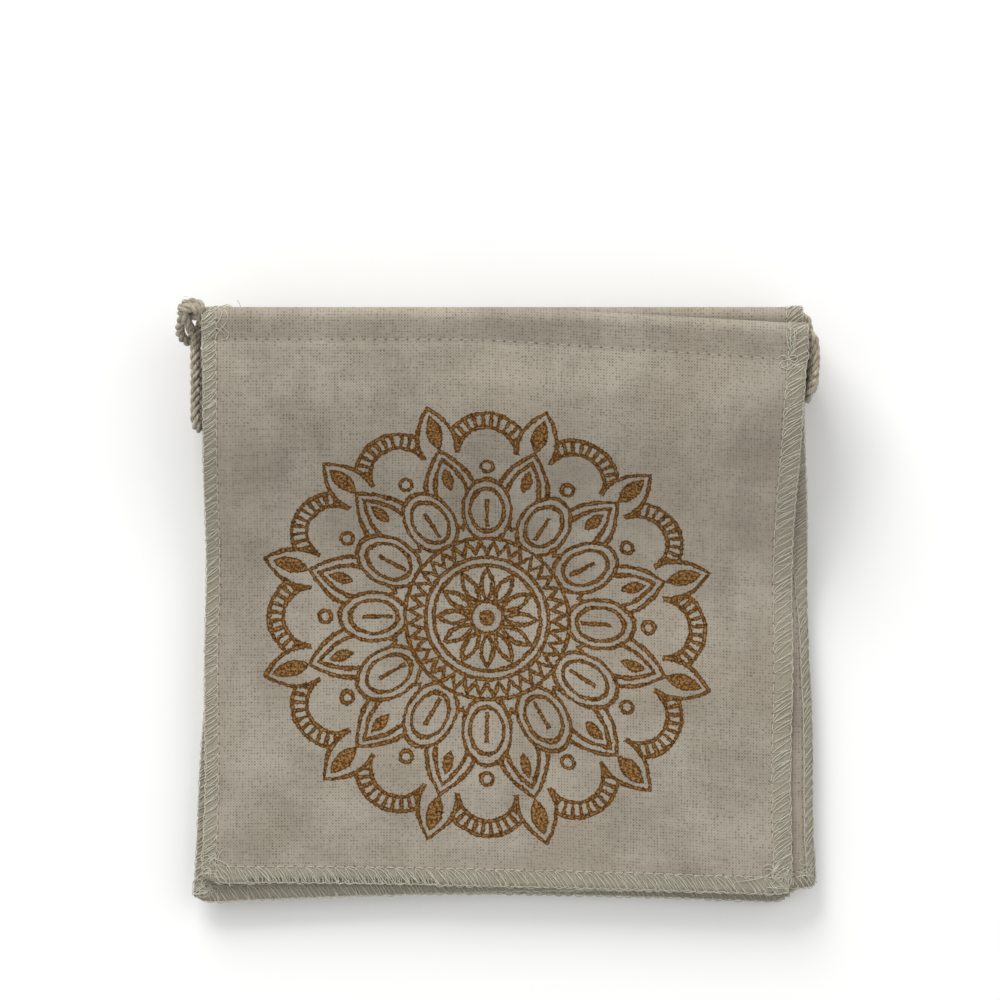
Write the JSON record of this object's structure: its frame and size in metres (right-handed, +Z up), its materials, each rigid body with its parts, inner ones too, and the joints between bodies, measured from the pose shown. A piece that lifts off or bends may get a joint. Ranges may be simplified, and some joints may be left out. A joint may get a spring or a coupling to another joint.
{
  "type": "fabric bunting",
  "caption": "Square unbleached cotton flags with a sewn casing each, overlocked edges and a printed round ornament, strung on one twisted cotton cord and put away flag on flag.",
  "frame": {"origin": "middle of the pile's outline without the cord, on the surface that it lies on", "axes": "+X along the casings, +Y from the lower hems to the folds, +Z up; the printed side faces up"},
  "size_m": [0.1683, 0.1578, 0.0326],
  "materials": {
    "unbleached_cotton": "plain weave, unbleached, with dark seed flecks, cream overlock on three edges and a bronze-brown printed line ornament",
    "cotton_cord": "three-ply twisted natural cotton, matt and slightly hairy"
  },
  "bodies": {
    "root": {"flag_1": "unbleached_cotton", "flag_2": "unbleached_cotton", "flag_3": "unbleached_cotton", "flag_4": "unbleached_cotton", "flag_5": "unbleached_cotton", "flag_6": "unbleached_cotton", "flag_7": "unbleached_cotton", "cord": "cotton_cord"}
  },
  "joints": []
}
